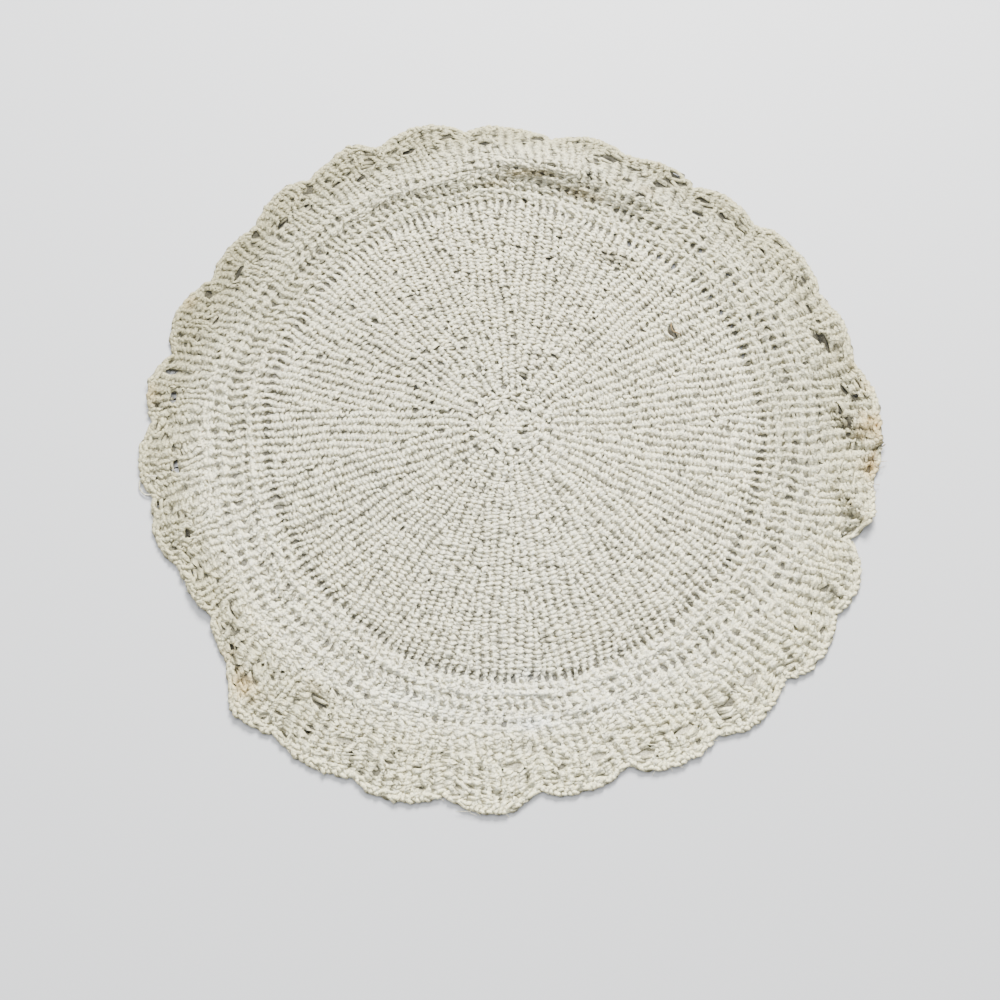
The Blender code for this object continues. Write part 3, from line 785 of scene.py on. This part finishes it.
def tubes(paths, radii, deeps):
    """Closed yarn paths as tubes of SIDES sides: points, quads, coordinates and colours."""
    verts, faces, uvs, depths = [], [], [], []
    lumps = np.random.default_rng(len(paths))
    base = 0
    for path, radius, deep in zip(paths, radii, deeps):
        count = len(path)
        along = np.roll(path, -1, axis=0) - np.roll(path, 1, axis=0)
        along /= np.linalg.norm(along, axis=1)[:, None] + 1e-12
        side = np.stack([-along[:, 1], along[:, 0], np.zeros(count)], 1)
        side /= np.linalg.norm(side, axis=1)[:, None] + 1e-12
        over = np.cross(along, side)
        around = TURN * (np.arange(SIDES) + 0.25) / SIDES
        lumpy = radius[:, None] * (1.18 + 0.10 * lumps.normal(0.0, 1.0, (count, SIDES)))
        ring = path[:, None, :] + lumpy[..., None] * (
            np.cos(around)[None, :, None] * side[:, None, :]
            + 1.05 * np.sin(around)[None, :, None] * over[:, None, :]
        )
        verts.append(ring.reshape(-1, 3))
        # Painted shade: the underside of each yarn is coloured darker than its top.
        depths.append((deep[:, None] + 0.66 * np.sin(around)[None, :] - 0.05).ravel())
        i, j = np.meshgrid(np.arange(count), np.arange(SIDES), indexing="ij")
        this, then, j2 = i * SIDES, (i + 1) % count * SIDES, (j + 1) % SIDES
        quads = np.stack([this + j, then + j, then + j2, this + j2], -1)
        faces.append((quads + base).reshape(-1, 4))
        step = np.linalg.norm(np.roll(path, -1, axis=0) - path, axis=1)
        length = np.concatenate([[0.0], np.cumsum(step)]) / MM
        uvs.append(np.stack([
            length[i], j / SIDES, length[i + 1], j / SIDES,
            length[i + 1], (j + 1) / SIDES, length[i], (j + 1) / SIDES], -1).reshape(-1, 2))
        base += count * SIDES
    verts = np.concatenate(verts)
    return verts, np.concatenate(faces), np.concatenate(uvs), tint(verts, np.concatenate(depths))


def cores(bodies, deeps):
    """Felted bodies as closed six-sided sleeves: points, quads, coordinates and colours."""
    verts, faces, depths = [], [], []
    base = 0
    for body, deep in zip(bodies, deeps):
        steps = len(body)
        verts.append(body.reshape(-1, 3))
        depths.append((0.26 + deep).ravel())
        i, j = np.meshgrid(np.arange(steps - 1), np.arange(CORE_SIDES), indexing="ij")
        this, then, j2 = i * CORE_SIDES, (i + 1) * CORE_SIDES, (j + 1) % CORE_SIDES
        quads = np.stack([this + j, then + j, then + j2, this + j2], -1)
        faces.append((quads + base).reshape(-1, 4))
        last = (steps - 1) * CORE_SIDES
        faces.append(np.array([
            [0, 1, 2, 3], [0, 3, 4, 5],
            [last + 3, last + 2, last + 1, last], [last + 5, last + 4, last + 3, last]]) + base)
        base += steps * CORE_SIDES
    verts, faces = np.concatenate(verts), np.concatenate(faces)
    return verts, faces, np.zeros((faces.size, 2)), tint(verts, np.concatenate(depths))


def yarn_radius(count, seed, thick=YARN):
    """Hand-spun unevenness along the yarn, in metres."""
    local = np.random.default_rng(seed + 5000)
    knots = local.normal(0.0, 1.0, count // 6 + 4)
    uneven = np.interp(np.arange(count) / 6.0, np.arange(len(knots)), knots)
    return thick * MM * (1.0 + 0.09 * uneven)


def lay_all(knits, rim):
    """Lay many knitted paths in one go, and cut the result into paths again."""
    whole = lay(*(np.concatenate([k[i].ravel() for k in knits]) for i in range(3)), rim)
    ends = np.cumsum([k[0].size for k in knits])[:-1]
    return [part.reshape(k[0].shape + (3,)) for part, k in zip(np.split(whole, ends), knits)]


def over_eyelets(places):
    """True for every place, in metres, that lies over an eyelet."""
    flat = places.reshape(-1, 3)
    radius, angle = polar(flat[:, 0], flat[:, 1])
    radius = radius / MM
    inside = np.zeros(len(flat), bool)
    for angle_deg, radius_mm, along_mm, across_mm, slope in eyelets:
        near = np.nonzero(np.abs(radius - radius_mm) < 3.0)[0]
        side = np.radians(off(angle[near], angle_deg)) * radius_mm
        out = radius[near] - radius_mm - slope * side
        inside[near] |= (side / (along_mm + 0.1)) ** 2 + (out / (across_mm + 0.1)) ** 2 < 1.0
    return inside.reshape(places.shape[:-1])


def ridges_piece(name, yarns, bodies, seed, material):
    """One object of garter ridges: their two rows of loops and their felted bodies. Yarn that
    would bridge an eyelet shrinks back to a hair down in it, painted dark as shade."""
    paths = lay_all(yarns, YARN)
    thick = [yarn_radius(len(p), seed + n) for n, p in enumerate(paths)]
    middles = np.concatenate([0.5 * (p + np.roll(p, -1, axis=0)) for p in paths])
    bridges = np.split(over_eyelets(middles), np.cumsum([len(p) for p in paths])[:-1])
    sunk = []
    for path, radius, bridge in zip(paths, thick, bridges):
        bridge = bridge | np.roll(bridge, 1)
        radius[bridge] *= 0.12
        path[bridge, 2] = np.minimum(path[bridge, 2], SUNK * MM)
        sunk.append(np.where(bridge, SUNK_SHADE, 0.0))
    deeps = [how_deep(y[1], y[2], 2.6, 0.12) + low for y, low in zip(yarns, sunk)]
    loops = tubes(paths, thick, deeps)
    sleeves = lay_all(bodies, 0.25)
    middles = [0.5 * (b[1:] + b[:-1]) for b in sleeves]
    bridges = over_eyelets(np.concatenate(middles))
    sunk = []
    for body, bridge in zip(sleeves, np.split(bridges, np.cumsum([len(m) for m in middles])[:-1])):
        bridge = bridge.any(axis=1)
        bridge = np.append(bridge, False) | np.append(False, bridge)
        heart = body[bridge].mean(axis=1, keepdims=True)
        body[bridge] = heart + 0.2 * (body[bridge] - heart)
        body[bridge, :, 2] = np.minimum(body[bridge, :, 2], SUNK * MM)
        sunk.append(np.where(bridge, SUNK_SHADE, 0.0)[:, None])
    deeps = [how_deep(b[1], b[2], 0.6, 0.0) + low for b, low in zip(bodies, sunk)]
    inside = cores(sleeves, deeps)
    faces = np.concatenate([loops[1], inside[1] + len(loops[0])])
    verts, uvs, shades = (np.concatenate([loops[k], inside[k]]) for k in (0, 2, 3))
    return knitted(name, verts, faces, uvs, shades, material)


yarn_cotton = cotton("Ecru cotton yarn", (0.98, 0.925, 0.685), (0.85, 0.795, 0.555))
for sector, wedges in enumerate((range(0, 5), range(5, 10), range(10, 15), range(15, 21))):
    yarns, bodies = [], []
    for wedge in wedges:
        for ridge in range(RIDGES):
            y_line = DISC * sin((ridge + 0.5) / RIDGES * wedge_width)
            x_line = y_line / np.tan(wedge_width) - (0.35 if ridge else 0.9) * taper_mm
            start = float(np.hypot(x_line, y_line))
            seed = wedge * RIDGES + ridge
            yarns.append(in_wedge(wedge, ridge, garter_ridge(start, 95.4, seed, 1.3)))
            bodies.append(in_wedge(wedge, ridge, ridge_core(71.0, 95.6, seed)))
    name = f"disc_and_mesh_{sector + 1}"
    ridges_piece(name, yarns, bodies, 100 * sector, yarn_cotton)


# ---- Yarn of the border ------------------------------------------------------------------
# The same yarn, knitted on along the edge: about eight garter ridges to a leaf, longer towards
# the leaf's tip, with eyelets between them. The list gives degrees and ridges to a whole turn.
BORDER_CROWDING = [
    (0, 180), (30, 180), (60, 190), (90, 205), (130, 228), (165, 216), (195, 226), (210, 216),
    (235, 206), (250, 214), (270, 220), (290, 200), (300, 192), (330, 195), (345, 205), (360, 180),
]
BORDER_RIDGES = 220
border_knit = knitted_by(BORDER_CROWDING, BORDER_RIDGES)
for sector, (first, last) in enumerate(((0, 110), (110, BORDER_RIDGES))):
    yarns, bodies = [], []
    for ridge in range(first, last):
        seed = 900 + ridge
        ridge_deg = np.interp(ridge + 0.5, border_knit, crowd_deg)
        length_mm = 1.22 * (float(np.interp(ridge_deg, edge_deg, edge_mm)) - 92.5)
        for knit, kept in (
            (garter_ridge(HEEL - 0.5, EDGE - 0.6, seed, 1.35, length_mm), yarns),
            (ridge_core(HEEL - 0.6, EDGE - 0.8, seed), bodies),
        ):
            lies = np.mod(ridge + 0.5 + knit[..., 1], BORDER_RIDGES)
            lies = np.interp(np.interp(lies, border_knit, crowd_deg), crowd_deg, knit_deg)
            kept.append((lies, knit[..., 0], knit[..., 2]))
    name = f"border_{sector + 1}"
    ridges_piece(name, yarns, bodies, 900 + first, yarn_cotton)


# ---- Bound-off edge ----------------------------------------------------------------------
# The last loops are drawn through one another into a chain that follows every scallop. It is made
# here as a plait of three strands, with 112 links and knots at uneven steps.
LINKS = 112
steps = 3 * 360
plaited = []
for strand in range(3):
    turn = np.arange(steps) / steps * 360.0
    phase = TURN * (turn / 360.0 * LINKS + strand / 3.0)
    phase = phase + 0.9 * np.sin(turn * 0.61) + 0.6 * np.sin(turn * 1.7)
    knots = 0.20 * np.sin(turn * 3.7) * np.sin(turn * 1.3) + 0.14 * np.sin(turn * 2.3 + strand)
    swing = 0.62 + 0.16 * np.sin(turn * 1.9 + 2.0 * strand)
    plaited.append((turn, EDGE - 0.50 + knots + swing * np.sin(phase), 0.46 * np.sin(2.0 * phase)))
thick = [yarn_radius(steps, 7000 + n, 0.56) for n in range(3)]
# Painted shade: each strand is coloured darker where it dips low in the plait.
chain = tubes(lay_all(plaited, YARN), thick, [0.5 + 1.6 * strand[2] for strand in plaited])
knitted("bound_off_edge", *chain, yarn_cotton)


# ---- Stray fibres ------------------------------------------------------------------------
# Handling pulled a few fibres loose: a brown thread and a slack stitch across the broken place
# in the disc, a loop and a dark tuft at the edge, and fine hairs all round. A black tuft in the hole
# of the flap is painted shade.
Stray = namedtuple("Stray", "thick_mm shade places")     # places: degrees, mm out, mm high
STRAYS = [
    Stray(0.2, (0.27, 0.2, 0.13), [
        (37.8, 60.8, 2.8), (36.6, 59.8, 3.3), (35.2, 59.2, 3.3), (34, 59.8, 3.4),
        (33, 61, 3)]),
    Stray(0.34, (1, 1, 1), [
        (36.6, 57.6, 1.8), (35.6, 57.2, 2.6), (34.2, 57.6, 2.7), (33.2, 58.6, 1.8)]),
    Stray(0.2, (0.92, 0.91, 0.9), [
        (192.4, 106.5, 1.2), (192.2, 108.6, 1.4), (191.9, 110.6, 1.2), (192.5, 112.4, 0.8),
        (193.9, 112.8, 0.5), (195, 111.4, 0.6), (195.2, 109, 1)]),
    Stray(0.32, (0.12, 0.11, 0.08), [(359.6, 110.6, 2.6), (0, 111.9, 2.8), (0.7, 113.2, 2.4)]),
    Stray(0.22, (0.24, 0.21, 0.15), [(0.2, 110.8, 2.4), (0.6, 112.2, 2.6), (0.9, 113.2, 2)]),
    Stray(0.18, (0.2, 0.18, 0.13), [(359.4, 111.2, 2.2), (0.3, 112, 2.4), (1.2, 112.4, 2.2)]),
    Stray(0.16, (0.3, 0.25, 0.18), [(359.9, 112, 2), (0.1, 113.2, 1.8), (0.6, 114.2, 1.2)]),
    # Painted shade: a black tuft standing in for the dark of the hole in the flap.
    Stray(0.4, (0.02, 0.02, 0.02), [(8.7, 105.6, 3.7), (8.2, 106.1, 3.5), (8.7, 106.6, 3.7)]),
    Stray(0.1, (0.72, 0.62, 0.58), [(357.9, 110.4, 1.6), (357.6, 112.6, 1.5), (357.9, 114.6, 0.9)]),
    Stray(0.08, (0.72, 0.62, 0.58), [(357, 110.6, 1.6), (356.5, 112.6, 1.4), (357.1, 113.8, 1)]),
    Stray(0.1, (0.66, 0.58, 0.54), [(354.6, 108.6, 1.4), (353.8, 110.8, 1.3), (353.9, 112.8, 0.8)]),
    Stray(0.08, (0.66, 0.58, 0.54), [(353.6, 109, 1.4), (353.1, 111.2, 1.2), (352.6, 112, 0.9)]),
]
for hair in range(110):
    angle = rng.uniform(0.0, 360.0)
    mm_out = float(np.interp(angle, edge_deg, edge_mm)) - 0.4
    bend = rng.normal(0.0, 0.5, 2)
    reach = rng.uniform(0.7, 1.9)
    STRAYS.append(Stray(0.055, (0.95, 0.93, 0.88), [
        (angle, mm_out, 1.0), (angle + bend[0], mm_out + 0.6 * reach, 1.1),
        (angle + bend[0] + bend[1], mm_out + reach, 0.7)]))
hairs, thick = [], []
for stray in STRAYS:
    angle, out, high = np.array(stray.places).T
    angle = np.radians(angle)
    bare = np.stack([out * np.cos(angle), out * np.sin(angle), high], 1) * MM
    fine = np.linspace(0.0, len(bare) - 1.0, 3 * len(bare))
    bare = np.stack([np.interp(fine, np.arange(len(bare)), bare[:, k]) for k in range(3)], 1)
    bare[1:-1] = (bare[:-2] + 2.0 * bare[1:-1] + bare[2:]) / 4.0
    # There and back again, a hair's breadth lower, as a closed path.
    hairs.append(np.concatenate([bare, bare[::-1] - [0, 0, 0.00001]]))
    thick.append(np.full(len(hairs[-1]), stray.thick_mm * MM))
verts, faces, uvs, shades = tubes(hairs, thick, [np.full(len(h), 0.8) for h in hairs])
shades[:] = np.concatenate([np.tile(s.shade, (len(h) * SIDES, 1)) for s, h in zip(STRAYS, hairs)])
knitted("stray_fibres", verts, faces, uvs, shades, yarn_cotton)
